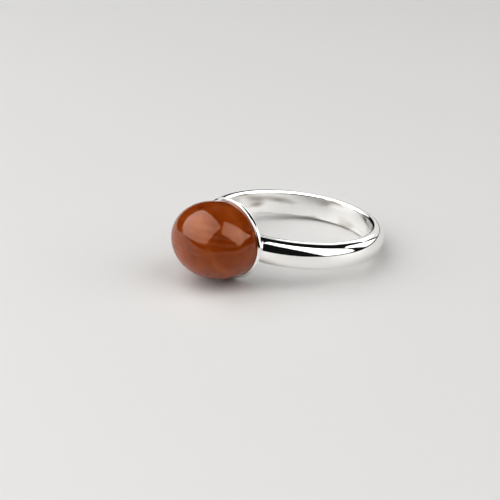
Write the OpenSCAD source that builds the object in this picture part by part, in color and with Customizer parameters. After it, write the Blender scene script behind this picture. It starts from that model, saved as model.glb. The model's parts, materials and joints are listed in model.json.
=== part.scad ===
// A plain half-round band with a shallow oval bezel cup soldered into it, and the
// high-domed, egg-like moonstone that the cup holds. The ring lies on its side, with
// its head towards -Y, resting on the cup's lower edge and on the band's far side.

/* [Band] */
// Inside diameter, across the finger hole
finger_d = 17; // [15:0.1:20]
// Width of the band along the finger
band_w = 2.9; // [2.6:0.1:3.6]
// Thickness of the band at its crown
band_t = 1.5; // [1.4:0.1:1.9]
// Radius of the crown of the half-round section
crown_r = 1.9; // [1.8:0.1:3]
// Radius of the two shoulders between crown and sides
shoulder_r = 0.8; // [0.6:0.1:1]
// Radius of the two inner edges
edge_r = 0.35; // [0.2:0.05:0.4]

/* [Stone] */
// Length of the oval stone at its widest place, around the band
stone_l = 10; // [9.6:0.1:10.4]
// Width of the oval stone at its widest place, along the finger
stone_w = 8.1; // [7:0.1:9]
// How far each end of the stone draws in from its widest place to the bezel's rim
girdle_in = 0.2; // [0.05:0.05:0.2]
// Height of the dome above the bezel's rim
dome_h = 6; // [5.8:0.1:6.3]
// Radius of the dome's top, measured along the stone's length
dome_top_r = 12.2; // [11:0.1:14]
// Radius of the dome's shoulder, measured along the stone's length
dome_corner_r = 4.2; // [4:0.1:4.4]
// Radius of the dome's side, measured along the stone's length
dome_side_r = 12.6; // [11:0.1:14]
// Bevel round the stone's flat back
back_bevel = 0.15; // [0.1:0.05:0.25]

/* [Bezel] */
// Thickness of the bezel's wall
wall_t = 0.3; // [0.25:0.05:0.5]
// Thickness of the plate under the stone
plate_t = 0.25; // [0.25:0.05:0.5]
// Height of the wall above the plate
wall_h = 0.3; // [0.3:0.05:0.8]
// Clearance from the finger hole to the back of the plate
plate_rise = 0.22; // [0.06:0.02:0.3]
// Rounding of the rim's outer edge
rim_round = 0.12; // [0.08:0.02:0.2]
// Rounding of the cup's back edge
back_round = 0.3; // [0.2:0.05:0.35]
// Gap between the stone and its seat
seat_gap = 0.03; // [0.02:0.01:0.06]

/* [Hidden] */
$fn = 120;
SILVER = "#dcdad6";
MOONSTONE = "#a85c34";
// How far a small arc stands out of the large arc that it blends into
blend = 0.002;

function unit(v) = v / norm(v);

// Third corner of a triangle on the base a to b, to the right of it, at the
// distances ra from a and rb from b
function corner_point(a, b, ra, rb) =
    let (d = norm(b - a), along = unit(b - a), right = [along[1], -along[0]])
    let (foot = (ra ^ 2 - rb ^ 2 + d ^ 2) / (2 * d))
    a + foot * along + sqrt(ra ^ 2 - foot ^ 2) * right;

// Band section: distance from the finger's axis first, height along it second
finger_r = finger_d / 2;
half_w = band_w / 2;
edge_c = [finger_r + edge_r, half_w - edge_r];
crown_c = [finger_r + band_t - crown_r, 0];
shoulder_z = half_w - shoulder_r;
shoulder_away = crown_r - shoulder_r + blend;
shoulder_c = crown_c + [sqrt(shoulder_away ^ 2 - shoulder_z ^ 2), shoulder_z];
crown_z = crown_r * shoulder_z / shoulder_away;

// Distances from the finger's axis, out through the head
plate_back = finger_r + plate_rise;
seat = plate_back + plate_t;
rim = seat + wall_h;

// Half length and half width of the stone, of its pocket and of the cup, at the rim
stone_ratio = stone_w / stone_l;
girdle_half = (stone_l / 2 - girdle_in) * [1, stone_ratio];
pocket_half = girdle_half + seat_gap * [1, 1];
cup_half = pocket_half + wall_t * [1, 1];
cup_ratio = cup_half[1] / cup_half[0];

// Dome section: distance from the stone's axis first, height above the rim second
top_c = [0, dome_h - dome_top_r];
top_away = dome_top_r - dome_corner_r + blend;
side_away = dome_side_r - dome_corner_r + blend;
corner_x = stone_l / 2 - dome_corner_r;
corner_c = [corner_x, top_c[1] + sqrt(top_away ^ 2 - corner_x ^ 2)];
side_c = corner_point(corner_c, [girdle_half[0], 0], side_away, dome_side_r);
top_x = dome_top_r * corner_x / top_away;
side_z = side_c[1] + dome_side_r * (corner_c[1] - side_c[1]) / side_away;

// Tilt at which the cup's lower edge and the band's far side touch one plane. The
// cup's edge is flattened, so how far it stands out depends on the tilt itself.
reach = plate_back + back_round + shoulder_c[0];
drop = cup_half[1] - back_round * cup_ratio - shoulder_z;
function edge_out(t) = back_round * norm([sin(t), cup_ratio * cos(t)]);
function resting(t) = atan(drop / reach) + asin((edge_out(t) - shoulder_r) / norm([reach, drop]));
tilt = resting(resting(resting(atan(drop / reach))));
lift = shoulder_c[0] * sin(tilt) + shoulder_z * cos(tilt) + shoulder_r;

// How far the head and the band's far side reach along Y, to centre the origin
head_y = (rim + corner_c[1]) * cos(tilt)
    + stone_ratio * corner_c[0] * sin(tilt)
    + dome_corner_r * norm([cos(tilt), stone_ratio * sin(tilt)]);
tail_y = crown_c[0] * cos(tilt) + crown_r;

// Lays the ring down: the head rises by the tilt, and its lowest points meet Z = 0
module laid() {
    translate([0, (head_y - tail_y) / 2, lift]) rotate([-tilt, 0, 0]) children();
}

// Revolves a section about the head's axis, drawn at the half length half[0], and
// flattens it to the half width half[1], one quarter at a time
module oval_on_head(half) {
    for (quarter = [0:3])
        rotate([90, 0, 0]) scale([1, half[1] / half[0], 1]) rotate([0, 0, 90 * quarter])
            rotate_extrude(angle = 90) children();
}

// Disc about a centre, kept inside the box from low to high
module disc_in_box(centre, r, low, high) {
    intersection() {
        translate(centre) circle(r);
        translate(low) square(high - low);
    }
}

// Half-round band, a full circle about the finger's axis
module band() {
    far = finger_r + 2 * band_t;
    rotate_extrude() {
        translate([finger_r, -edge_c[1]]) square([shoulder_c[0] - finger_r, 2 * edge_c[1]]);
        translate([edge_c[0], -half_w]) square([shoulder_c[0] - edge_c[0], band_w]);
        disc_in_box(crown_c, crown_r, [edge_c[0], -crown_z], [far, crown_z]);
        for (side = [-1, 1]) {
            translate([edge_c[0], side * edge_c[1]]) circle(edge_r);
            disc_in_box([shoulder_c[0], side * shoulder_z], shoulder_r, [edge_c[0], -band_w], [far, band_w]);
        }
    }
}

// Outer form of the bezel cup, a low oval disc with rounded edges
module cup_form() {
    low = plate_back + back_round;
    high = rim - rim_round;
    oval_on_head(cup_half) {
        translate([0, plate_back]) square([cup_half[0] - back_round, rim - plate_back]);
        translate([0, low]) square([cup_half[0] - rim_round, rim - low]);
        translate([0, low]) square([cup_half[0], high - low]);
        disc_in_box([cup_half[0] - back_round, low], back_round, [0, plate_back], [cup_half[0], low]);
        disc_in_box([cup_half[0] - rim_round, high], rim_round, [0, high], [cup_half[0], rim]);
    }
}

// Pocket that takes the stone, open towards the head
module pocket() {
    oval_on_head(pocket_half) translate([0, seat]) square([pocket_half[0], band_t + wall_h]);
}

// Oval cabochon: bevelled flat back, straight girdle in the wall, and above it the
// side that swells a little before it closes to the high dome
module stone_form() {
    r = girdle_half[0];
    back = seat + seat_gap;
    far = [stone_l, 2 * dome_h];
    oval_on_head(girdle_half) {
        polygon([[0, back], [r - back_bevel, back], [r, back + back_bevel], [r, rim], [0, rim]]);
        translate([0, rim]) {
            disc_in_box(top_c, dome_top_r, [0, 0], [top_x, far[1]]);
            disc_in_box(corner_c, dome_corner_r, [0, 0], far);
            disc_in_box(side_c, dome_side_r, [0, 0], [far[0], side_z]);
        }
    }
}

// Silver: the band and the bezel cup, soldered into one
module band_and_bezel() {
    color(SILVER) laid() difference() {
        union() {
            band();
            cup_form();
        }
        pocket();
    }
}

// Moonstone, clear of its seat by the gap
module moonstone() {
    color(MOONSTONE) laid() stone_form();
}

band_and_bezel();
moonstone();
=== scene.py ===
import json
import math
from collections import namedtuple

import bpy
import numpy as np
from bpy.props import FloatProperty, FloatVectorProperty, IntProperty, PointerProperty
from mathutils import Matrix, Vector


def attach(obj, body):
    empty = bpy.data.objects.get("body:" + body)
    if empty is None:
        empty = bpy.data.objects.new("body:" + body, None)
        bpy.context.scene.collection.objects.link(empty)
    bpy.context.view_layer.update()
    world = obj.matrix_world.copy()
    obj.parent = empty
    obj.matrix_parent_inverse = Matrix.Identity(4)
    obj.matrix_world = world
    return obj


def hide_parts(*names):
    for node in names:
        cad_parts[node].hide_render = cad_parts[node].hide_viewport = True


bl_info = {
    "name": "Moonstone Ring",
    "version": (1, 0, 0),
    "blender": (4, 5, 0),
    "location": "View3D > Sidebar > Ring",
    "description": "Builds a silver band, its bezel cup and solder, and the cabochon it holds",
    "category": "Add Mesh",
}

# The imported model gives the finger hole's place, its axis and its radius
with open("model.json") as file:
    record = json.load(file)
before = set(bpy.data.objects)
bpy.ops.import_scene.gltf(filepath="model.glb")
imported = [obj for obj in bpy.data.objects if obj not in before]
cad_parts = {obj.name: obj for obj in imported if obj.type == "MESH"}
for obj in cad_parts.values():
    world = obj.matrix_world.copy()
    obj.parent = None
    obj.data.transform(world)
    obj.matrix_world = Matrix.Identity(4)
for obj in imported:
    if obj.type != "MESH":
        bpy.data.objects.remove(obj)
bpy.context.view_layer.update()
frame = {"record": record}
MM = 0.001
BORE = frame["record"]["mounts"][0]
RING_CENTRE = Vector(BORE["pos_m"])
FINGER_AXIS = Vector(BORE["axis"]).normalized()
SIDEWAYS = Vector((1, 0, 0))
TAIL_WAY = FINGER_AXIS.cross(SIDEWAYS)

# Pieces are made about the ring's centre, with the head towards -Y and the finger along Z,
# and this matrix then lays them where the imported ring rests
LAID = Matrix.Translation(RING_CENTRE) @ Matrix((SIDEWAYS, TAIL_WAY, FINGER_AXIS)).transposed().to_4x4()

# Name of the attribute that keeps the true normals of a polished surface
TRUE_NORMAL = "true_normal"

# Points of a seam that lie this close are one
SEAM = 0.001 * MM

# A face whose kept normal leans farther than this from its own is shaded flat
STRAY_LEAN = math.radians(35)


def linear(hex_colour):
    """Linear RGB of an sRGB colour written as RRGGBB"""
    srgb = [int(hex_colour[i:i + 2], 16) / 255 for i in (0, 2, 4)]
    return [c / 12.92 if c <= 0.04045 else ((c + 0.055) / 1.055) ** 2.4 for c in srgb]


def length_setting(name, description, in_mm):
    """Setting for a length, with its default in millimetres"""
    return FloatProperty(
        name=name, description=description, default=in_mm * MM, unit="LENGTH", precision=5)


def colour_setting(name, description, srgb):
    """Setting for a colour, with its default as sRGB hex"""
    return FloatVectorProperty(
        name=name, description=description, subtype="COLOR", size=3, default=linear(srgb), min=0, max=1)


def count_setting(name, description, default, least):
    """Setting for a number of faces"""
    return IntProperty(name=name, description=description, default=default, min=least)


class BandSettings(bpy.types.PropertyGroup):
    """Sizes of the half-round band, and the colours of its silver"""

    inner_radius: length_setting("Inner Radius", "Radius of the finger hole", BORE["dims"]["r_mm"])
    width: length_setting("Width", "Width along the finger", 2.9)
    thickness: length_setting("Thickness", "Thickness at the crown", 1.5)
    crown_radius: length_setting("Crown Radius", "Radius of the section's crown", 1.9)
    shoulder_radius: length_setting("Shoulder Radius", "Radius between crown and sides", 0.8)
    edge_radius: length_setting("Edge Radius", "Radius of the two inner edges", 0.35)
    steps_around: count_setting("Steps Around", "Faces round the band", 400, least=48)
    steps_across: count_setting("Steps Across", "Faces round the section", 112, least=24)
    silver_colour: colour_setting("Silver", "Bright silver", "FBFAF8")
    # Grey of the inner wall's clouds: partly tarnish, partly painted reflection of the wall's dark
    # surroundings
    tarnish_and_reflection_colour: colour_setting("Tarnish", "Silver where it has tarnished", "8E837A")


class BezelSettings(bpy.types.PropertyGroup):
    """Sizes of the bezel cup and its solder"""

    back: length_setting("Back", "Distance of the cup's back from the finger's axis", 8.72)
    seat: length_setting("Seat", "Distance of the stone's seat from the finger's axis", 8.97)
    rim: length_setting("Rim", "Distance of the rim from the finger's axis", 9.27)
    half_length: length_setting("Half Length", "Half the cup's length, around the band", 5.13)
    half_width: length_setting("Half Width", "Half the cup's width, along the finger", 4.218)
    back_radius: length_setting("Back Radius", "Rounding of the cup's back edge", 0.3)
    lip_radius: length_setting("Lip Radius", "Rounding where the lip is burnished over the stone", 0.27)
    lip_inner_radius: length_setting(
        "Lip Inner Radius", "Rounding of the lip's edge beside the stone", 0.03)
    gap: length_setting("Gap", "Gap between the stone's girdle and the cup", 0.012)
    solder_radius: length_setting(
        "Solder Radius", "Radius of the solder fillet between cup and band", 0.15)
    steps_around: count_setting("Steps Around", "Faces round the cup", 256, least=48)


class StoneSettings(bpy.types.PropertyGroup):
    """Sizes and colours of the cabochon"""

    half_length: length_setting("Half Length", "Half the length at the widest place, around the band", 5.0)
    flatness: FloatProperty(
        name="Width to Length", description="Width along the finger as a share of the length",
        default=0.81, min=0.5, max=1, subtype="FACTOR", precision=3)
    girdle_in: length_setting("Girdle In", "How far each end draws in to the rim", 0.2)
    dome_height: length_setting("Dome Height", "Height of the dome above the rim", 6.0)
    top_radius: length_setting("Top Radius", "Radius of the dome's top", 12.2)
    corner_radius: length_setting("Corner Radius", "Radius of the dome's shoulder", 4.2)
    side_radius: length_setting("Side Radius", "Radius of the dome's side", 12.6)
    bevel: length_setting("Bevel", "Bevel round the flat back", 0.15)
    seat_gap: length_setting("Seat Gap", "Gap between the stone's back and its seat", 0.03)
    steps_around: count_setting("Steps Around", "Faces round the stone", 320, least=48)
    deep_colour: colour_setting("Deep Clouds", "Stone's body where it is deepest", "752A05")
    body_colour: colour_setting("Body", "Stone's body", "883707")
    pale_colour: colour_setting("Pale Clouds", "Stone's body where it is palest", "9C4A18")
    milk_colour: colour_setting("Milk", "Milky wisps in the stone's layers", "D39A78")
    glow_colour: colour_setting("Glow", "Tint of what the polished stone mirrors", "FFC6A4")


class StudioSettings(bpy.types.PropertyGroup):
    """Camera, floor and lights"""

    camera_distance: FloatProperty(
        name="Camera Distance", description="From the lens to the ring's centre",
        default=133.4 * MM, unit="LENGTH", precision=4)
    camera_elevation: FloatProperty(
        name="Camera Elevation", description="Angle of the lens above the floor",
        default=math.radians(25.35), unit="ROTATION", precision=2)
    camera_azimuth: FloatProperty(
        name="Camera Azimuth", description="Angle round the ring, from its head",
        default=math.radians(52.04), unit="ROTATION", precision=2)
    camera_roll: FloatProperty(
        name="Camera Roll", description="Lean of the camera",
        default=math.radians(-0.69), unit="ROTATION", precision=2)
    focal_px: FloatProperty(
        name="Focal Length", description="In pixels of the picture", default=1200.0, subtype="PIXEL")
    picture_px: FloatProperty(
        name="Picture Size", description="Side of the square picture", default=500.0, subtype="PIXEL")
    ring_u: FloatProperty(
        name="Ring Across", description="Pixel column of the ring's centre", default=294.0,
        subtype="PIXEL")
    ring_v: FloatProperty(
        name="Ring Down", description="Pixel row of the ring's centre", default=227.2,
        subtype="PIXEL")
    window_brightness: FloatProperty(
        name="Window Brightness", description="Light from the windows that pieces scatter",
        default=1.85)
    mirrored_brightness: FloatProperty(
        name="Mirrored Brightness", description="Light from the windows that the stone mirrors",
        default=3.5)
    floor_colour: colour_setting("Floor Colour", "Matt pale studio floor", "DFDEDC")


class RingSettings(bpy.types.PropertyGroup):
    """All of the ring's settings"""

    band: PointerProperty(type=BandSettings)
    bezel: PointerProperty(type=BezelSettings)
    stone: PointerProperty(type=StoneSettings)
    studio: PointerProperty(type=StudioSettings)


def add_node(tree, kind, settings, inputs):
    """Adds a node, with its settings, and fills its inputs with values or links"""
    node = tree.nodes.new(kind)
    for name, value in settings.items():
        setattr(node, name, value)
    for key, value in inputs.items():
        if isinstance(value, bpy.types.NodeSocket):
            tree.links.new(value, node.inputs[key])
        else:
            node.inputs[key].default_value = value
    return node


# Meshes


def mesh_object(name, mesh):
    """Object that holds a mesh, in the scene"""
    piece = bpy.data.objects.new(name, mesh)
    bpy.context.scene.collection.objects.link(piece)
    return piece


def evaluated_mesh(piece):
    """Plain mesh of a piece with its modifiers worked out"""
    graph = bpy.context.evaluated_depsgraph_get()
    return bpy.data.meshes.new_from_object(
        piece.evaluated_get(graph), preserve_all_data_layers=True, depsgraph=graph)


def lay_down(mesh):
    """Lays a mesh where the ring rests, smooth, with its true normals as shading normals"""
    kept = mesh.attributes[TRUE_NORMAL]
    normals = np.empty(len(mesh.loops) * 3, np.float32)
    kept.data.foreach_get("vector", normals)
    mesh.attributes.remove(kept)
    flat = np.empty(len(mesh.polygons) * 3, np.float32)
    mesh.polygons.foreach_get("normal", flat)
    corners = np.empty(len(mesh.polygons), np.int32)
    mesh.polygons.foreach_get("loop_total", corners)
    normals, flat = normals.reshape(-1, 3), np.repeat(flat.reshape(-1, 3), corners, axis=0)
    # A sliver along a joint can take a normal from the wrong side of it: that face stays flat
    stray = (normals * flat).sum(1) < math.cos(STRAY_LEAN) * np.linalg.norm(normals, axis=1)
    normals[stray] = flat[stray]
    normals = normals @ np.array(LAID.to_3x3()).T
    normals /= np.linalg.norm(normals, axis=1, keepdims=True)
    mesh.transform(LAID)
    mesh.shade_smooth()
    mesh.normals_split_custom_set(normals.tolist())
    mesh.update()


def arc(centre, radius, start, stop, steps, side=1):
    """Stretch of a profile along an arc: its points and its normals, angles in degrees"""
    angle = np.radians(np.linspace(start, stop, steps + 1))
    way = np.stack([np.cos(angle), np.sin(angle)], 1)
    return np.array(centre) + radius * way, side * way


def straight(a, b, steps=1):
    """Straight stretch of a profile: its points and its normals, to the right of its way"""
    a, b = np.array(a), np.array(b)
    along = (b - a) / np.linalg.norm(b - a)
    points = a + np.linspace(0, 1, steps + 1)[:, None] * (b - a)
    return points, np.tile([along[1], -along[0]], (steps + 1, 1))


def turned(radius, height, angle, flatness):
    """Point of a profile turned about the head's axis, flattened along the finger"""
    return np.stack([radius * np.cos(angle), -height + 0 * angle, flatness * radius * np.sin(angle)], -1)


def turned_normal(out, up, angle, flatness):
    """Normal of a profile turned about the head's axis, flattened along the finger"""
    normal = np.stack([out * np.cos(angle), -up + 0 * angle, out * np.sin(angle) / flatness], -1)
    return normal / np.linalg.norm(normal, axis=-1, keepdims=True)


def oval_solid(name, stretches, flatness, steps_around, facing=1):
    """Closed mesh of a profile, from the head's axis at the back to the axis at the front"""
    angle = np.linspace(0, 2 * np.pi, steps_around, endpoint=False)
    points, rings, faces, normals = [], [], [], []

    def ring_at(point):
        """Adds a ring of points, or one point on the axis, and gives their numbers"""
        on_axis = abs(point[0]) < SEAM
        spots = turned(point[0], point[1], angle[:1] if on_axis else angle, flatness)
        first = sum(len(p) for p in points)
        points.append(spots)
        return [first] * steps_around if on_axis else list(range(first, first + steps_around))

    rings.append(ring_at(stretches[0][0][0]))
    for place, way in stretches:
        for i in range(len(place) - 1):
            rings.append(ring_at(place[i + 1]))
            low, high = rings[-2], rings[-1]
            low_way = turned_normal(*way[i], angle, flatness)
            high_way = turned_normal(*way[i + 1], angle, flatness)
            for j in range(steps_around):
                k = (j + 1) % steps_around
                corners = [
                    (low[j], low_way[j]), (low[k], low_way[k]),
                    (high[k], high_way[k]), (high[j], high_way[j])]
                if low[j] == low[k]:
                    corners.pop(1)
                elif high[j] == high[k]:
                    corners.pop(2)
                faces.append([c[0] for c in corners])
                normals += [facing * c[1] for c in corners]
    return solid(name, np.concatenate(points), faces, normals)


def solid(name, points, faces, normals):
    """Mesh object with its true normals kept on its corners"""
    mesh = bpy.data.meshes.new(name)
    mesh.from_pydata(np.asarray(points).tolist(), [], faces)
    kept = mesh.attributes.new(TRUE_NORMAL, "FLOAT_VECTOR", "CORNER")
    kept.data.foreach_set("vector", np.asarray(normals, np.float32).ravel())
    mesh.validate()
    return mesh_object(name, mesh)


# The band, by Geometry Nodes

# The node tree's inputs for the section, named as the band's settings are
BAND_LENGTHS = ("Inner Radius", "Width", "Thickness", "Crown Radius", "Shoulder Radius", "Edge Radius")
BAND_STEPS = ("Steps Around", "Steps Across")


def section_values(tree, given, angles, step):
    """Numbers that the section's formula needs at each point of the grid, by name"""
    value = {name: given[name] for name in BAND_LENGTHS}
    value.update(
        around=angles.outputs["X"], row=angles.outputs["Y"], step=step.outputs[0],
        half=0.5, right_angle=math.pi / 2, half_turn=math.pi, start=-math.pi)

    # What each line works out, in order: name, operation and what goes in
    for name, operation, *terms in (
        ("half_step", "MULTIPLY", "step", "half"),
        ("row_angle", "ADD", "row", "half_step"),
        ("last", "ADD", "half_turn", "half_step"),
        ("is_extra_row", "GREATER_THAN", "row_angle", "last"),
        ("back_to_start", "SUBTRACT", "start", "row_angle"),
        ("turn", "MULTIPLY_ADD", "is_extra_row", "back_to_start", "row_angle"),
        ("half_width", "MULTIPLY", "Width", "half"),
        ("outside", "ADD", "Inner Radius", "Thickness"),
        ("crown_out", "SUBTRACT", "outside", "Crown Radius"),
        ("shoulder_up", "SUBTRACT", "half_width", "Shoulder Radius"),
        ("shoulder_away", "SUBTRACT", "Crown Radius", "Shoulder Radius"),
        ("shoulder_sine", "DIVIDE", "shoulder_up", "shoulder_away"),
        ("crown_end", "ARCSINE", "shoulder_sine"),
        ("shoulder_cosine", "COSINE", "crown_end"),
        ("shoulder_out", "MULTIPLY_ADD", "shoulder_cosine", "shoulder_away", "crown_out"),
        ("edge_out", "ADD", "Inner Radius", "Edge Radius"),
        ("edge_up", "SUBTRACT", "half_width", "Edge Radius"),
        ("lean", "ABSOLUTE", "turn"),
        ("side", "SIGN", "turn"),
        ("past_crown", "GREATER_THAN", "lean", "crown_end"),
        ("past_shoulder", "GREATER_THAN", "lean", "right_angle"),
        ("way_out", "COSINE", "turn"),
        ("way_up", "SINE", "turn"),
    ):
        node = add_node(tree, "ShaderNodeMath", {"operation": operation, "label": name},
                        {i: value[term] for i, term in enumerate(terms)})
        value[name] = node.outputs[0]
    return value


def section_point(tree, given, value):
    """Point of the section and its normal: the arc that holds the point has a centre and a
    radius, and the point lies that far from it along the normal"""
    shoulder = add_node(tree, "ShaderNodeCombineXYZ", {}, {
        "X": value["shoulder_out"], "Z": value["shoulder_up"]})
    edge = add_node(tree, "ShaderNodeCombineXYZ", {}, {"X": value["edge_out"], "Z": value["edge_up"]})
    crown = add_node(tree, "ShaderNodeCombineXYZ", {}, {"X": value["crown_out"]})
    centre, radius = crown.outputs[0], given["Crown Radius"]
    for past, next_centre, next_radius in (
        ("past_crown", shoulder, "Shoulder Radius"), ("past_shoulder", edge, "Edge Radius")):
        switch = {"Switch": value[past], "False": centre, "True": next_centre.outputs[0]}
        centre = add_node(tree, "GeometryNodeSwitch", {"input_type": "VECTOR"}, switch).outputs[0]
        switch = {"Switch": value[past], "False": radius, "True": given[next_radius]}
        radius = add_node(tree, "GeometryNodeSwitch", {"input_type": "FLOAT"}, switch).outputs[0]
    mirror = add_node(tree, "ShaderNodeCombineXYZ", {}, {"X": 1.0, "Y": 1.0, "Z": value["side"]})
    centre = add_node(tree, "ShaderNodeVectorMath", {"operation": "MULTIPLY"}, {
        0: centre, 1: mirror.outputs[0]})
    way = add_node(tree, "ShaderNodeCombineXYZ", {}, {"X": value["way_out"], "Z": value["way_up"]})
    out = add_node(tree, "ShaderNodeVectorMath", {"operation": "SCALE"}, {
        0: way.outputs[0], "Scale": radius})
    spot = add_node(tree, "ShaderNodeVectorMath", {"operation": "ADD"}, {
        0: centre.outputs[0], 1: out.outputs[0]})
    return spot, way


def band_tree():
    """Node tree that sweeps the half-round section round the finger. Each point of the section
    is found from the angle of its normal: the crown, shoulder or inner edge with that angle has
    a centre and a radius, and the straight stretches between them follow by themselves."""
    tree = bpy.data.node_groups.new("half_round_band", "GeometryNodeTree")
    face = tree.interface
    face.new_socket("Geometry", in_out="OUTPUT", socket_type="NodeSocketGeometry")
    for name in BAND_LENGTHS:
        face.new_socket(name, in_out="INPUT", socket_type="NodeSocketFloat").subtype = "DISTANCE"
    for name in BAND_STEPS:
        face.new_socket(name, in_out="INPUT", socket_type="NodeSocketInt")
    face.new_socket("Material", in_out="INPUT", socket_type="NodeSocketMaterial")
    given = add_node(tree, "NodeGroupInput", {}, {}).outputs

    # A grid of angles: round the finger along X, the section's normal along Y. The grid has one
    # row more than the section, and that row returns to the first one across the flat inner wall.
    full_turn = 2 * math.pi
    around = add_node(tree, "ShaderNodeMath", {"operation": "ADD"}, {0: given["Steps Around"], 1: 1})
    across = add_node(tree, "ShaderNodeMath", {"operation": "ADD"}, {0: given["Steps Across"], 1: 2})
    step = add_node(tree, "ShaderNodeMath", {"operation": "DIVIDE"}, {
        0: full_turn, 1: given["Steps Across"]})
    reach = add_node(tree, "ShaderNodeMath", {"operation": "ADD"}, {0: full_turn, 1: step.outputs[0]})
    grid = add_node(tree, "GeometryNodeMeshGrid", {}, {
        "Size X": full_turn, "Size Y": reach.outputs[0],
        "Vertices X": around.outputs[0], "Vertices Y": across.outputs[0]})
    place = add_node(tree, "GeometryNodeInputPosition", {}, {})
    angles = add_node(tree, "ShaderNodeSeparateXYZ", {}, {0: place.outputs[0]})
    value = section_values(tree, given, angles, step)
    spot, way = section_point(tree, given, value)

    # Both the point and its normal are turned round the finger
    turn = {"rotation_type": "Z_AXIS"}
    normal = add_node(tree, "ShaderNodeVectorRotate", turn, {
        "Vector": way.outputs[0], "Angle": value["around"]})
    spot = add_node(tree, "ShaderNodeVectorRotate", turn, {
        "Vector": spot.outputs[0], "Angle": value["around"]})
    kept = add_node(
        tree, "GeometryNodeStoreNamedAttribute", {"data_type": "FLOAT_VECTOR", "domain": "CORNER"},
        {"Geometry": grid.outputs["Mesh"], "Name": TRUE_NORMAL, "Value": normal.outputs[0]})
    swept = add_node(tree, "GeometryNodeSetPosition", {}, {
        "Geometry": kept.outputs[0], "Position": spot.outputs[0]})
    closed = add_node(tree, "GeometryNodeMergeByDistance", {}, {
        "Geometry": swept.outputs[0], "Distance": SEAM})
    real = add_node(tree, "GeometryNodeRealizeInstances", {}, {"Geometry": closed.outputs[0]})
    finished = add_node(tree, "GeometryNodeSetMaterial", {}, {
        "Geometry": real.outputs[0], "Material": given["Material"]})
    add_node(tree, "NodeGroupOutput", {}, {0: finished.outputs[0]})
    return tree


def band_solid(sizes, material):
    """Band as a plain mesh about the ring's centre, made by its node tree"""
    piece = mesh_object("band", bpy.data.meshes.new("band"))
    modifier = piece.modifiers.new("sweep", "NODES")
    modifier.node_group = band_tree()
    wanted = {
        "Inner Radius": sizes.inner_radius, "Width": sizes.width, "Thickness": sizes.thickness,
        "Crown Radius": sizes.crown_radius, "Shoulder Radius": sizes.shoulder_radius,
        "Edge Radius": sizes.edge_radius, "Steps Around": sizes.steps_around,
        "Steps Across": sizes.steps_across, "Material": material}
    for socket in modifier.node_group.interface.items_tree:
        if socket.in_out == "INPUT":
            modifier[socket.identifier] = wanted[socket.name]
    mesh = evaluated_mesh(piece)
    piece.modifiers.clear()
    piece.data = mesh
    return piece


# The bezel cup, its pocket and the solder

# Times that the search for a place on the cup halves its step
HALVINGS = 40


def cup_outside(sizes):
    """Profile of the cup's outside, from its back to the top of its burnished lip"""
    end, back_r, lip_r = sizes.half_length, sizes.back_radius, sizes.lip_radius
    return [
        straight((0, sizes.back), (end - back_r, sizes.back), steps=4),
        arc((end - back_r, sizes.back + back_r), back_r, -90, 0, steps=10),
        straight((end, sizes.back + back_r), (end, sizes.rim - lip_r)),
        arc((end - lip_r, sizes.rim - lip_r), lip_r, 0, 90, steps=10),
        straight((end - lip_r, sizes.rim), (0, sizes.rim)),
    ]


def cup_pocket(sizes, girdle):
    """Profile of what is cut out for the stone, which flares at the lip's inner edge"""
    wall = girdle + sizes.gap
    flare = sizes.lip_inner_radius
    above = sizes.rim + 2 * sizes.lip_radius
    return [
        straight((0, sizes.seat), (wall, sizes.seat)),
        straight((wall, sizes.seat), (wall, sizes.rim - flare)),
        arc((wall + flare, sizes.rim - flare), flare, 180, 90, steps=6, side=-1),
        straight((wall + flare, sizes.rim), (wall + flare, above)),
        straight((wall + flare, above), (0, above)),
    ]


def section_arcs(sizes, count=1440):
    """Half-round section as a table by the angle of its normal: centres, radii and normals"""
    turn = np.linspace(-np.pi, np.pi, count, endpoint=False)
    side = np.sign(turn) + (turn == 0)
    half = sizes.width / 2
    up = half - sizes.shoulder_radius
    away = sizes.crown_radius - sizes.shoulder_radius
    crown_out = sizes.inner_radius + sizes.thickness - sizes.crown_radius
    past_crown = abs(turn) > np.arcsin(up / away)
    past_shoulder = abs(turn) > np.pi / 2
    out = np.where(past_crown, crown_out + math.sqrt(away ** 2 - up ** 2), crown_out)
    out = np.where(past_shoulder, sizes.inner_radius + sizes.edge_radius, out)
    height = np.where(past_crown, up, 0)
    height = np.where(past_shoulder, half - sizes.edge_radius, height) * side
    radius = np.where(past_crown, sizes.shoulder_radius, sizes.crown_radius)
    radius = np.where(past_shoulder, sizes.edge_radius, radius)
    return np.stack([out, height], 1), radius, np.stack([np.cos(turn), np.sin(turn)], 1)


def from_band(spots, section):
    """Distance of points from the band's surface, and the band's normals there"""
    centres, radii, ways = section
    out = np.hypot(spots[:, 0], spots[:, 1])
    flat = np.stack([out, spots[:, 2]], 1)
    reach = flat @ ways.T - (centres * ways).sum(1) - radii
    best = reach.argmax(1)
    way = ways[best]
    normal = np.stack([way[:, 0] * spots[:, 0] / out, way[:, 0] * spots[:, 1] / out, way[:, 1]], 1)
    return reach.max(1), normal


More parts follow.
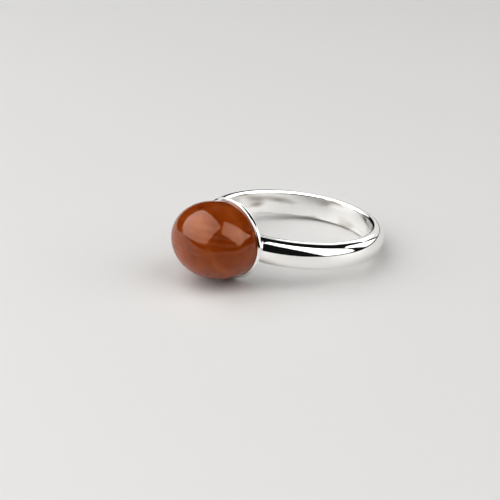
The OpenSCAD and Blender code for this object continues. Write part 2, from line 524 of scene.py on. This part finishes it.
def rolling_ball(angle, band, bezel):
    """Where a ball touches both cup and band, at angles round the head: the places on the cup,
    the ball's centres, and the ways from cup and band towards those centres"""
    section = section_arcs(band)
    flatness = bezel.half_width / bezel.half_length
    stretches = cup_outside(bezel)[:3]
    place = np.concatenate([s[0] for s in stretches])
    way = np.concatenate([s[1] for s in stretches])
    run = np.concatenate([[0], np.cumsum(np.linalg.norm(np.diff(place, axis=0), axis=1))])
    ball = bezel.solder_radius

    def on_cup(at):
        """Points of the cup at those lengths along its profile, and its normals there"""
        radius, height = np.interp(at, run, place[:, 0]), np.interp(at, run, place[:, 1])
        out, up = np.interp(at, run, way[:, 0]), np.interp(at, run, way[:, 1])
        return turned(radius, height, angle, flatness), turned_normal(out, up, angle, flatness)

    inside, outside = np.zeros_like(angle), np.full_like(angle, run[-1])
    for _ in range(HALVINGS):
        middle = (inside + outside) / 2
        touch, cup_way = on_cup(middle)
        clear = from_band(touch + ball * cup_way, section)[0] > ball
        outside = np.where(clear, middle, outside)
        inside = np.where(clear, inside, middle)
    touch, cup_way = on_cup(outside)
    centre = touch + ball * cup_way
    return touch, centre, cup_way, from_band(centre, section)[1]


def solder_solid(band, bezel):
    """Fillet of solder all round the joint, with its sections evenly spaced along it"""
    # The joint is measured this much finer than it is built
    finer = 8
    angle = np.linspace(0, 2 * np.pi, finer * bezel.steps_around + 1)
    centre = rolling_ball(angle, band, bezel)[1]
    run = np.concatenate([[0], np.cumsum(np.linalg.norm(np.diff(centre, axis=0), axis=1))])
    count = bezel.steps_around
    angle = np.interp(np.linspace(0, run[-1], count, endpoint=False), run, angle)
    touch, centre, cup_way, band_way = rolling_ball(angle, band, bezel)

    # Across the fillet: an arc from the band to the cup, then three points buried in the metal
    steps = 8
    sink = 0.1 * MM
    deep_sink = 5 * sink
    proud = 0.002 * MM
    ball = bezel.solder_radius
    between = np.arccos(np.clip((cup_way * band_way).sum(1), -1, 1))[:, None]
    rows, row_ways = [], []
    for share in np.linspace(0, 1, steps + 1):
        near_band, near_cup = np.sin((1 - share) * between), np.sin(share * between)
        blend = (near_band * band_way + near_cup * cup_way) / np.sin(between)
        rows.append(centre - (ball + proud) * blend)
        row_ways.append(blend)
    toward = touch * np.array([1, 0, 1])
    toward /= np.linalg.norm(toward, axis=1, keepdims=True)
    deep = touch - deep_sink * toward
    deep[:, 1] = -(bezel.back + bezel.seat) / 2
    band_touch = centre - ball * band_way
    for spot, facing in (
        (touch - sink * cup_way, cup_way), (deep, cup_way), (band_touch - sink * band_way, band_way)):
        rows.append(spot)
        row_ways.append(facing)
    wide = len(rows)
    points = np.stack(rows, 1).reshape(-1, 3)
    ways = np.stack(row_ways, 1).reshape(-1, 3)
    faces = []
    for i in range(count):
        for j in range(wide):
            here, there = i * wide, (i + 1) % count * wide
            k = (j + 1) % wide
            faces.append([here + j, there + j, there + k, here + k])
    return solid("solder", points, faces, [ways[v] for f in faces for v in f])


def fuse(piece, others, cuts):
    """Joins solids into one piece and cuts others out of it"""
    for other, operation in [(o, "UNION") for o in others] + [(c, "DIFFERENCE") for c in cuts]:
        modifier = piece.modifiers.new(other.name, "BOOLEAN")
        modifier.object = other
        modifier.operation = operation
        modifier.solver = "MANIFOLD"
    mesh = evaluated_mesh(piece)
    piece.modifiers.clear()
    for other in others + cuts:
        bpy.data.objects.remove(other)
    return mesh


def one_material(mesh, material):
    """Gives a whole mesh one material"""
    mesh.materials.clear()
    mesh.materials.append(material)
    mesh.polygons.foreach_set("material_index", np.zeros(len(mesh.polygons), np.int32))


# Materials

# A colour mix's own sockets, by number, because its sockets for other data have the same names
MIX_A, MIX_B, MIX_RESULT = 6, 7, 2

# Silver, with lengths in millimetres. The wheel's marks run round the finger, and are drawn
# farther apart than real ones, which are too fine to show
MARK_LENGTH = 4.0
MARK_SPACING = 0.2
MARK_DEPTH_OUTSIDE = 0.0006
MARK_DEPTH_INSIDE = 0.002
MARK_ROUGHNESS = 0.03
WAVE_LENGTH = 2.0
WAVE_DEPTH = 0.006
# Size of the inner wall's grey clouds, which are partly tarnish and partly painted reflection
TARNISH_AND_REFLECTION_LENGTH = 4.0
TARNISH_AND_REFLECTION_WIDTH = 1.6
ROUGHNESS_OUTSIDE = 0.04
ROUGHNESS_INSIDE = 0.08

# How far out from the inner wall the outside's polish begins and where it is full, in millimetres
POLISH_BEGINS = 0.05
POLISH_FULL = 0.2

# The stone, with lengths in millimetres: its clouds, its layers, the breaks between its milky
# wisps, and how deep light sinks in
CLOUD_SIZE = 3.0
LAYER_SPACING = 0.7
WISP_BREAK = 2.5
LIGHT_DEPTH = 1.5

# A wave texture of scale 1 repeats at this length
WAVE_PERIOD = math.pi / 10


def new_material(name):
    """Material with an empty node tree, and that tree"""
    material = bpy.data.materials.new(name)
    material.use_nodes = True
    tree = material.node_tree
    tree.nodes.clear()
    return material, tree


def ring_place(tree):
    """Position on the ring in the axes it was made in, from Object coordinates: millimetres
    sideways, towards the tail and along the finger"""
    place = add_node(tree, "ShaderNodeTexCoord", {}, {})
    about = add_node(tree, "ShaderNodeVectorMath", {"operation": "SUBTRACT"}, {
        0: place.outputs["Object"], 1: RING_CENTRE})
    parts = {}
    for name, axis in (("X", SIDEWAYS), ("Y", TAIL_WAY), ("Z", FINGER_AXIS)):
        along = add_node(tree, "ShaderNodeVectorMath", {"operation": "DOT_PRODUCT"}, {
            0: about.outputs[0], 1: axis})
        length = add_node(tree, "ShaderNodeMath", {"operation": "DIVIDE"}, {
            0: along.outputs["Value"], 1: MM})
        parts[name] = length.outputs[0]
    return add_node(tree, "ShaderNodeCombineXYZ", {}, parts).outputs[0]


def polished_silver(band):
    """Sterling silver, filed and then buffed on a wheel with rouge. To the eye the outside is a
    clear mirror with the faintest of buffing marks round it, and the inner wall, which only a
    felt stick reaches, is a softer mirror with sanding marks and clouds of grey. These clouds are
    partly tarnish and partly painted reflection: they darken the inner wall in soft patches, as
    its mirrored dark surroundings would"""
    material, tree = new_material("sterling_silver_buffed")
    place = ring_place(tree)
    parts = add_node(tree, "ShaderNodeSeparateXYZ", {}, {0: place}).outputs
    flat = add_node(tree, "ShaderNodeCombineXYZ", {}, {"X": parts["X"], "Y": parts["Y"]})
    radius = add_node(tree, "ShaderNodeVectorMath", {"operation": "LENGTH"}, {0: flat.outputs[0]})
    wall = band.inner_radius / MM
    inside = add_node(tree, "ShaderNodeMapRange", {"interpolation_type": "SMOOTHSTEP"}, {
        "Value": radius.outputs["Value"], "From Min": wall + POLISH_BEGINS,
        "From Max": wall + POLISH_FULL, "To Min": 1.0, "To Max": 0.0})

    # Marks left by the wheel and, on the inner wall, deeper ones left by sanding
    stretched = add_node(tree, "ShaderNodeVectorMath", {"operation": "MULTIPLY"}, {
        0: place, 1: (1 / MARK_LENGTH, 1 / MARK_LENGTH, 1 / MARK_SPACING)})
    marks = add_node(tree, "ShaderNodeTexNoise", {}, {
        "Vector": stretched.outputs[0], "Scale": 1.0, "Detail": 3.0, "Roughness": 0.6})
    depth = add_node(tree, "ShaderNodeMapRange", {}, {
        "Value": inside.outputs[0], "To Min": MARK_DEPTH_OUTSIDE * MM, "To Max": MARK_DEPTH_INSIDE * MM})
    scratched = add_node(tree, "ShaderNodeBump", {}, {
        "Strength": 1.0, "Distance": depth.outputs[0], "Height": marks.outputs["Fac"]})

    # The buffing wheel leaves the metal very slightly wavy
    waves = add_node(tree, "ShaderNodeTexNoise", {}, {
        "Vector": place, "Scale": 1 / WAVE_LENGTH, "Detail": 1.0})
    waved = add_node(tree, "ShaderNodeBump", {}, {
        "Strength": 1.0, "Distance": WAVE_DEPTH * MM, "Height": waves.outputs["Fac"],
        "Normal": scratched.outputs[0]})

    # Soft grey clouds on the inner wall: partly tarnish, where nothing rubs it off, and partly painted
    # reflection, standing in for the dark patches that the wall mirrors
    drawn = add_node(tree, "ShaderNodeVectorMath", {"operation": "MULTIPLY"}, {
        0: place, 1: (1 / TARNISH_AND_REFLECTION_LENGTH, 1 / TARNISH_AND_REFLECTION_LENGTH, 1 / TARNISH_AND_REFLECTION_WIDTH)})
    clouds = add_node(tree, "ShaderNodeTexNoise", {}, {
        "Vector": drawn.outputs[0], "Scale": 1.0, "Detail": 1.5, "Roughness": 0.4})
    tarnish_and_reflection_mask = add_node(tree, "ShaderNodeMapRange", {"interpolation_type": "SMOOTHSTEP"}, {
        "Value": clouds.outputs["Fac"], "From Min": 0.45, "From Max": 0.72})
    tarnish_and_reflection = add_node(tree, "ShaderNodeMath", {"operation": "MULTIPLY"}, {
        0: tarnish_and_reflection_mask.outputs[0], 1: inside.outputs[0]})
    colour = add_node(tree, "ShaderNodeMix", {"data_type": "RGBA"}, {
        0: tarnish_and_reflection.outputs[0], MIX_A: (*band.silver_colour, 1), MIX_B: (*band.tarnish_and_reflection_colour, 1)})
    rough = add_node(tree, "ShaderNodeMapRange", {}, {
        "Value": inside.outputs[0], "To Min": ROUGHNESS_OUTSIDE, "To Max": ROUGHNESS_INSIDE})
    marked = add_node(tree, "ShaderNodeMath", {"operation": "MULTIPLY_ADD"}, {
        0: marks.outputs["Fac"], 1: MARK_ROUGHNESS, 2: rough.outputs[0]})
    shader = add_node(tree, "ShaderNodeBsdfPrincipled", {}, {
        "Base Color": colour.outputs[MIX_RESULT], "Metallic": 1.0,
        "Roughness": marked.outputs[0], "Normal": waved.outputs[0]})
    add_node(tree, "ShaderNodeOutputMaterial", {}, {"Surface": shader.outputs[0]})
    return material


def peach_moonstone(stone):
    """Peach moonstone, cut as a cabochon and polished with cerium oxide. Light sinks a
    millimetre or two into the stone and comes back orange, thin layers inside it scatter a
    milky sheen, and cloudy wisps drift through it under a glassy surface"""
    material, tree = new_material("peach_moonstone_polished")
    place = ring_place(tree)

    # Clouds of deeper and paler stone
    clouds = add_node(tree, "ShaderNodeTexNoise", {}, {
        "Vector": place, "Scale": 1 / CLOUD_SIZE, "Detail": 2.0, "Roughness": 0.45, "Distortion": 0.2})
    body = add_node(tree, "ShaderNodeValToRGB", {}, {"Fac": clouds.outputs["Fac"]})
    ramp = body.color_ramp
    ramp.interpolation = "EASE"
    ramp.elements.new(0.5)
    stops = ((0.3, stone.deep_colour), (0.5, stone.body_colour), (0.72, stone.pale_colour))
    for element, (stop, colour) in zip(ramp.elements, stops):
        element.position = stop
        element.color = (*colour, 1)

    # Layers of feldspar lie across the stone and show as faint milky wisps
    layers = add_node(tree, "ShaderNodeTexWave", {"wave_type": "BANDS", "bands_direction": "Z"}, {
        "Vector": place, "Scale": WAVE_PERIOD / LAYER_SPACING, "Distortion": 3.0, "Detail": 3.0,
        "Detail Scale": 0.7})
    breaks = add_node(tree, "ShaderNodeTexNoise", {}, {
        "Vector": place, "Scale": 1 / WISP_BREAK, "Detail": 1.0})
    wisp = add_node(tree, "ShaderNodeMapRange", {"interpolation_type": "SMOOTHSTEP"}, {
        "Value": breaks.outputs["Fac"], "From Min": 0.45, "From Max": 0.75, "To Max": 0.1})
    milky = add_node(tree, "ShaderNodeMath", {"operation": "MULTIPLY"}, {
        0: layers.outputs["Fac"], 1: wisp.outputs[0]})
    colour = add_node(tree, "ShaderNodeMix", {"data_type": "RGBA"}, {
        0: milky.outputs[0], MIX_A: body.outputs["Color"], MIX_B: (*stone.milk_colour, 1)})

    # Red light travels farthest in the stone, and its polished skin mirrors warmly
    shader = add_node(tree, "ShaderNodeBsdfPrincipled", {}, {
        "Base Color": colour.outputs[MIX_RESULT], "Roughness": 0.06, "IOR": 1.53,
        "Specular Tint": (*stone.glow_colour, 1), "Subsurface Weight": 0.7,
        "Subsurface Radius": (1.0, 0.35, 0.15), "Subsurface Scale": LIGHT_DEPTH * MM})
    add_node(tree, "ShaderNodeOutputMaterial", {}, {"Surface": shader.outputs[0]})
    return material


# Operators


class RING_OT_band_and_bezel(bpy.types.Operator):
    """Silver band and bezel cup, soldered into one piece"""

    bl_idname = "ring.band_and_bezel"
    bl_label = "Band and Bezel"

    def execute(self, context):
        settings = context.scene.ring
        band, bezel, stone = settings.band, settings.bezel, settings.stone
        flatness = bezel.half_width / bezel.half_length
        silver = polished_silver(band)
        piece = band_solid(band, silver)
        cup = oval_solid("cup", cup_outside(bezel), flatness, bezel.steps_around)
        girdle = stone.half_length - stone.girdle_in
        pocket_flatness = (girdle * stone.flatness + bezel.gap) / (girdle + bezel.gap)
        pocket = oval_solid(
            "pocket", cup_pocket(bezel, girdle), pocket_flatness, bezel.steps_around, facing=-1)
        piece.data = fuse(piece, [cup, solder_solid(band, bezel)], [pocket])
        one_material(piece.data, silver)
        lay_down(piece.data)
        piece.name = "silver_band_and_bezel"
        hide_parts("band_and_bezel")
        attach(piece, "root")
        return {"FINISHED"}


def stone_profile(stone, bezel):
    """Profile of the cabochon, from its flat back to the top of its dome"""
    back = bezel.seat + stone.seat_gap
    girdle = stone.half_length - stone.girdle_in
    top = np.array([0, bezel.rim + stone.dome_height - stone.top_radius])
    corner_out = stone.half_length - stone.corner_radius
    top_away = stone.top_radius - stone.corner_radius
    corner = top + np.array([corner_out, math.sqrt(top_away ** 2 - corner_out ** 2)])
    # The side's centre is side_radius from the girdle's edge at the rim and lies on a line
    # through the corner's centre, so the two arcs share a tangent where they meet
    edge = np.array([girdle, bezel.rim])
    base = edge - corner
    length = np.linalg.norm(base)
    along = base / length
    side_away = stone.side_radius - stone.corner_radius
    foot = (side_away ** 2 - stone.side_radius ** 2 + length ** 2) / (2 * length)
    aside = math.sqrt(side_away ** 2 - foot ** 2)
    side = corner + foot * along + aside * np.array([along[1], -along[0]])
    start = math.degrees(math.atan2(*(edge - side)[::-1]))
    meet_side = math.degrees(math.atan2(*(corner - side)[::-1]))
    meet_top = math.degrees(math.atan2(*(corner - top)[::-1]))
    return [
        straight((0, back), (girdle - stone.bevel, back)),
        straight((girdle - stone.bevel, back), (girdle, back + stone.bevel)),
        straight((girdle, back + stone.bevel), tuple(edge)),
        arc(side, stone.side_radius, start, meet_side, steps=12),
        arc(corner, stone.corner_radius, meet_side, meet_top, steps=56),
        arc(top, stone.top_radius, meet_top, 90, steps=14),
    ]


class RING_OT_moonstone(bpy.types.Operator):
    """Oval moonstone cabochon"""

    bl_idname = "ring.moonstone"
    bl_label = "Moonstone"

    def execute(self, context):
        settings = context.scene.ring
        stone = settings.stone
        profile = stone_profile(stone, settings.bezel)
        piece = oval_solid("moonstone_cabochon", profile, stone.flatness, stone.steps_around)
        lay_down(piece.data)
        piece.data.materials.append(peach_moonstone(stone))
        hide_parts("moonstone")
        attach(piece, "root")
        return {"FINISHED"}


# The studio. Lamps stand round the ring at azimuths counted from the head's side and at
# elevations above the floor, and lean about the way that they face, all in degrees. Their sizes
# and distances are in metres
Lamp = namedtuple("Lamp", "name azimuth elevation lean width height")

# Two windows light the stone and the floor. A mirrored window's middle and its corners shine
# with these shares of its brightness
WINDOWS = (
    Lamp("left_window", azimuth=326, elevation=49, lean=27, width=0.86, height=0.87),
    Lamp("right_window", azimuth=123, elevation=44, lean=14, width=0.43, height=0.61),
)
MIDDLE_GLOW = 1.35
CORNER_GLOW = 0.85

# Ribbons of soft light stand in the silver's mirror: at each azimuth, the elevations of the
# ribbon's lower and upper edge
Ribbon = namedtuple("Ribbon", "name brightness azimuths low high")
RIBBONS = (
    Ribbon(
        "front_ribbon", brightness=1.5,
        azimuths=(9, 22, 46, 57, 68, 75, 82, 90, 108, 119, 129, 133),
        low=(45, 47, 43, 38, 31, 24, 15, 4, 4, 4, 5, 7),
        high=(63, 66, 67, 65, 62, 60, 58, 55, 43, 36, 26, 13)),
    Ribbon(
        "side_ribbon", brightness=1.5,
        azimuths=(131, 137, 143, 149, 155, 168, 176, 181),
        low=(27, 23, 17, 9, 4, 3, 3, 3),
        high=(29, 34, 37, 38, 37, 30, 16, 5)),
    Ribbon(
        "back_ribbon", brightness=0.75,
        azimuths=(186, 194, 226), low=(5, 3, 3), high=(24, 44, 44)),
    Ribbon(
        "high_ribbon", brightness=1.2,
        azimuths=(192, 226, 244, 262), low=(44, 44, 48, 52), high=(50, 52, 54, 56)),
    Ribbon(
        "left_ribbon", brightness=1.3,
        azimuths=(240, 262, 285, 318, 345, 362),
        low=(40, 30, 20, 8, 8, 18),
        high=(52, 62, 64, 66, 62, 50)),
)

# Azimuth from lamp to lamp along a ribbon
RIBBON_STEP = 2.5

# How far windows and ribbons stand from the ring's centre
LAMP_DISTANCE = 0.5

# A small panel lies flat, close over the band's far side, and whitens that side's upper edge.
# The near side's inner edge stays dark, because it sees the panel only low down. The last two
# values say how far the panel lies above the ring's centre and out from it
PANEL = Lamp("close_panel", azimuth=232, elevation=90, lean=52, width=0.04, height=0.018)
PANEL_BRIGHTNESS = 1.2
PANEL_ABOVE = 0.0087
PANEL_OUT = 0.0112

# Half the side of the square floor, and the grey that the empty studio sends back
FLOOR_REACH = 4.0
STUDIO_GREY = 0.006

# The camera's sensor in millimetres, and how near and how far it sees in metres
SENSOR = 36.0
NEAREST = 5 * MM
FARTHEST = 10.0


def direction(azimuth, elevation):
    """Unit vector towards an azimuth, counted from the head's side, and an elevation"""
    flat = math.cos(elevation)
    return Vector((math.sin(azimuth) * flat, -math.cos(azimuth) * flat, math.sin(elevation)))


def place_lamp(lamp, brightness, lit, distance=LAMP_DISTANCE, faces=RING_CENTRE):
    """Flat soft lamp that faces a place on the ring and lights the pieces in a collection"""
    light = bpy.data.lights.new(lamp.name, "AREA")
    light.shape = "RECTANGLE"
    light.size, light.size_y = lamp.width, lamp.height
    light.energy = math.pi * lamp.width * lamp.height * brightness
    away = direction(math.radians(lamp.azimuth), math.radians(lamp.elevation))
    turn = away.to_track_quat("Z", "Y").to_matrix() @ Matrix.Rotation(math.radians(lamp.lean), 3, "Z")
    stand = bpy.data.objects.new(lamp.name, light)
    stand.matrix_world = Matrix.Translation(faces + distance * away) @ turn.to_4x4()
    stand.visible_camera = False
    stand.light_linking.receiver_collection = lit
    bpy.context.scene.collection.objects.link(stand)
    return stand


def light_window(window, studio, lit):
    """Lamp behind a diffuser. The stone's polish mirrors it, brightest in the middle, and a
    dimmer lamp in its place gives what stone and floor scatter, so that neither burns out"""
    scattered = place_lamp(window, studio.window_brightness, lit)
    scattered.visible_glossy = False
    scattered.data.cycles.use_multiple_importance_sampling = False
    mirrored = place_lamp(window, studio.mirrored_brightness, lit)
    mirrored.visible_diffuse = False
    mirrored.data.use_nodes = True
    tree = mirrored.data.node_tree
    spot = add_node(tree, "ShaderNodeNewGeometry", {}, {})
    off_middle = add_node(tree, "ShaderNodeVectorMath", {"operation": "DISTANCE"}, {
        0: spot.outputs["Parametric"], 1: (0.5, 0.5, 0.0)})
    glow = add_node(tree, "ShaderNodeMapRange", {"interpolation_type": "SMOOTHSTEP"}, {
        "Value": off_middle.outputs["Value"], "From Max": 0.6, "To Min": MIDDLE_GLOW,
        "To Max": CORNER_GLOW})
    tree.links.new(glow.outputs[0], tree.nodes["Emission"].inputs["Strength"])


def light_ribbon(ribbon, lit):
    """Soft light bent round the ring, as a chain of narrow upright lamps"""
    count = round((ribbon.azimuths[-1] - ribbon.azimuths[0]) / RIBBON_STEP)
    edges = np.linspace(ribbon.azimuths[0], ribbon.azimuths[-1], count + 1)
    for azimuth in (edges[:-1] + edges[1:]) / 2:
        low = np.interp(azimuth, ribbon.azimuths, ribbon.low)
        high = np.interp(azimuth, ribbon.azimuths, ribbon.high)
        width = LAMP_DISTANCE * math.radians(edges[1] - edges[0]) * math.cos(math.radians(low))
        height = 2 * LAMP_DISTANCE * math.tan(math.radians(high - low) / 2)
        place_lamp(Lamp(ribbon.name, azimuth, (low + high) / 2, 0, width, height), ribbon.brightness, lit)


def light_pieces(studio):
    """All lamps. They share two lists of the pieces that they light, because a render takes
    no more than 64 such lists"""
    lit_by_windows = bpy.data.collections.new("lit_by_windows")
    lit_by_windows.objects.link(bpy.data.objects["moonstone_cabochon"])
    lit_by_windows.objects.link(bpy.data.objects["floor"])
    lit_by_ribbons = bpy.data.collections.new("lit_by_ribbons")
    lit_by_ribbons.objects.link(bpy.data.objects["silver_band_and_bezel"])
    for window in WINDOWS:
        light_window(window, studio, lit_by_windows)
    for ribbon in RIBBONS:
        light_ribbon(ribbon, lit_by_ribbons)
    far_side = RING_CENTRE + PANEL_OUT * direction(math.radians(PANEL.azimuth), 0)
    place_lamp(PANEL, PANEL_BRIGHTNESS, lit_by_ribbons, PANEL_ABOVE, far_side)


def dark_world(scene):
    """Studio with no light but the lamps'"""
    world = bpy.data.worlds.new("dark_studio")
    world.use_nodes = True
    grey = (STUDIO_GREY, STUDIO_GREY, STUDIO_GREY, 1)
    world.node_tree.nodes["Background"].inputs["Color"].default_value = grey
    scene.world = world


def pale_floor(studio):
    """Matt pale floor, far wider than the camera sees"""
    reach = FLOOR_REACH
    corners = [(-reach, -reach, 0), (reach, -reach, 0), (reach, reach, 0), (-reach, reach, 0)]
    floor = solid("floor", corners, [[0, 1, 2, 3]], [(0, 0, 1)] * 4)
    material, tree = new_material("pale_matt_floor")
    shader = add_node(tree, "ShaderNodeBsdfPrincipled", {}, {
        "Base Color": (*studio.floor_colour, 1), "Roughness": 0.6})
    add_node(tree, "ShaderNodeOutputMaterial", {}, {"Surface": shader.outputs[0]})
    floor.data.materials.append(material)
    return floor


def camera_matrix(studio):
    """Where the camera stands: its sight line misses the ring's centre by as much as the
    picture's centre does"""
    back = direction(studio.camera_azimuth, studio.camera_elevation)
    right = Vector((0, 0, 1)).cross(back).normalized()
    turn = Matrix((right, back.cross(right), back)).transposed()
    turn = turn @ Matrix.Rotation(studio.camera_roll, 3, "Z")
    per_px = studio.camera_distance / studio.focal_px
    across = (studio.ring_u - studio.picture_px / 2) * per_px
    down = (studio.ring_v - studio.picture_px / 2) * per_px
    place = RING_CENTRE + turn @ Vector((-across, down, studio.camera_distance))
    return Matrix.Translation(place) @ turn.to_4x4()


def studio_camera(studio):
    """Camera, and the object that carries it"""
    camera = bpy.data.cameras.new("camera")
    camera.sensor_width = SENSOR
    camera.lens = SENSOR * studio.focal_px / studio.picture_px
    camera.clip_start = NEAREST
    camera.clip_end = FARTHEST
    stand = bpy.data.objects.new("camera", camera)
    stand.matrix_world = camera_matrix(studio)
    bpy.context.scene.collection.objects.link(stand)
    return stand


class RING_OT_studio(bpy.types.Operator):
    """Pale floor, soft lights and the camera"""

    bl_idname = "ring.studio"
    bl_label = "Studio"

    def execute(self, context):
        scene = context.scene
        studio = scene.ring.studio
        scene.camera = studio_camera(studio)
        floor = pale_floor(studio)
        light_pieces(studio)
        dark_world(scene)
        scene.view_settings.view_transform = "Standard"
        return {"FINISHED"}


class RING_PT_panel(bpy.types.Panel):
    """Sizes of the ring and a button for each piece"""

    bl_label = "Moonstone Ring"
    bl_idname = "RING_PT_panel"
    bl_space_type = "VIEW_3D"
    bl_region_type = "UI"
    bl_category = "Ring"

    def draw(self, context):
        settings = context.scene.ring
        for group, operator in PANEL_ROWS:
            box = self.layout.box()
            values = getattr(settings, group)
            for name in values.__annotations__:
                box.prop(values, name)
            box.operator(operator)


# Settings in each box of the panel, and the operator under them
PANEL_ROWS = (
    ("band", "ring.band_and_bezel"),
    ("bezel", "ring.band_and_bezel"),
    ("stone", "ring.moonstone"),
    ("studio", "ring.studio"),
)
CLASSES = (
    BandSettings, BezelSettings, StoneSettings, StudioSettings, RingSettings,
    RING_OT_band_and_bezel, RING_OT_moonstone, RING_OT_studio, RING_PT_panel,
)


def register():
    """Adds the settings, the operators and the panel"""
    for cls in CLASSES:
        bpy.utils.register_class(cls)
    bpy.types.Scene.ring = PointerProperty(type=RingSettings)


def unregister():
    """Takes the panel, the operators and the settings away again"""
    del bpy.types.Scene.ring
    for cls in reversed(CLASSES):
        bpy.utils.unregister_class(cls)


def main():
    """Builds the ring and its studio"""
    register()
    bpy.ops.ring.band_and_bezel()
    bpy.ops.ring.moonstone()
    bpy.ops.ring.studio()


if __name__ == "__main__":
    main()
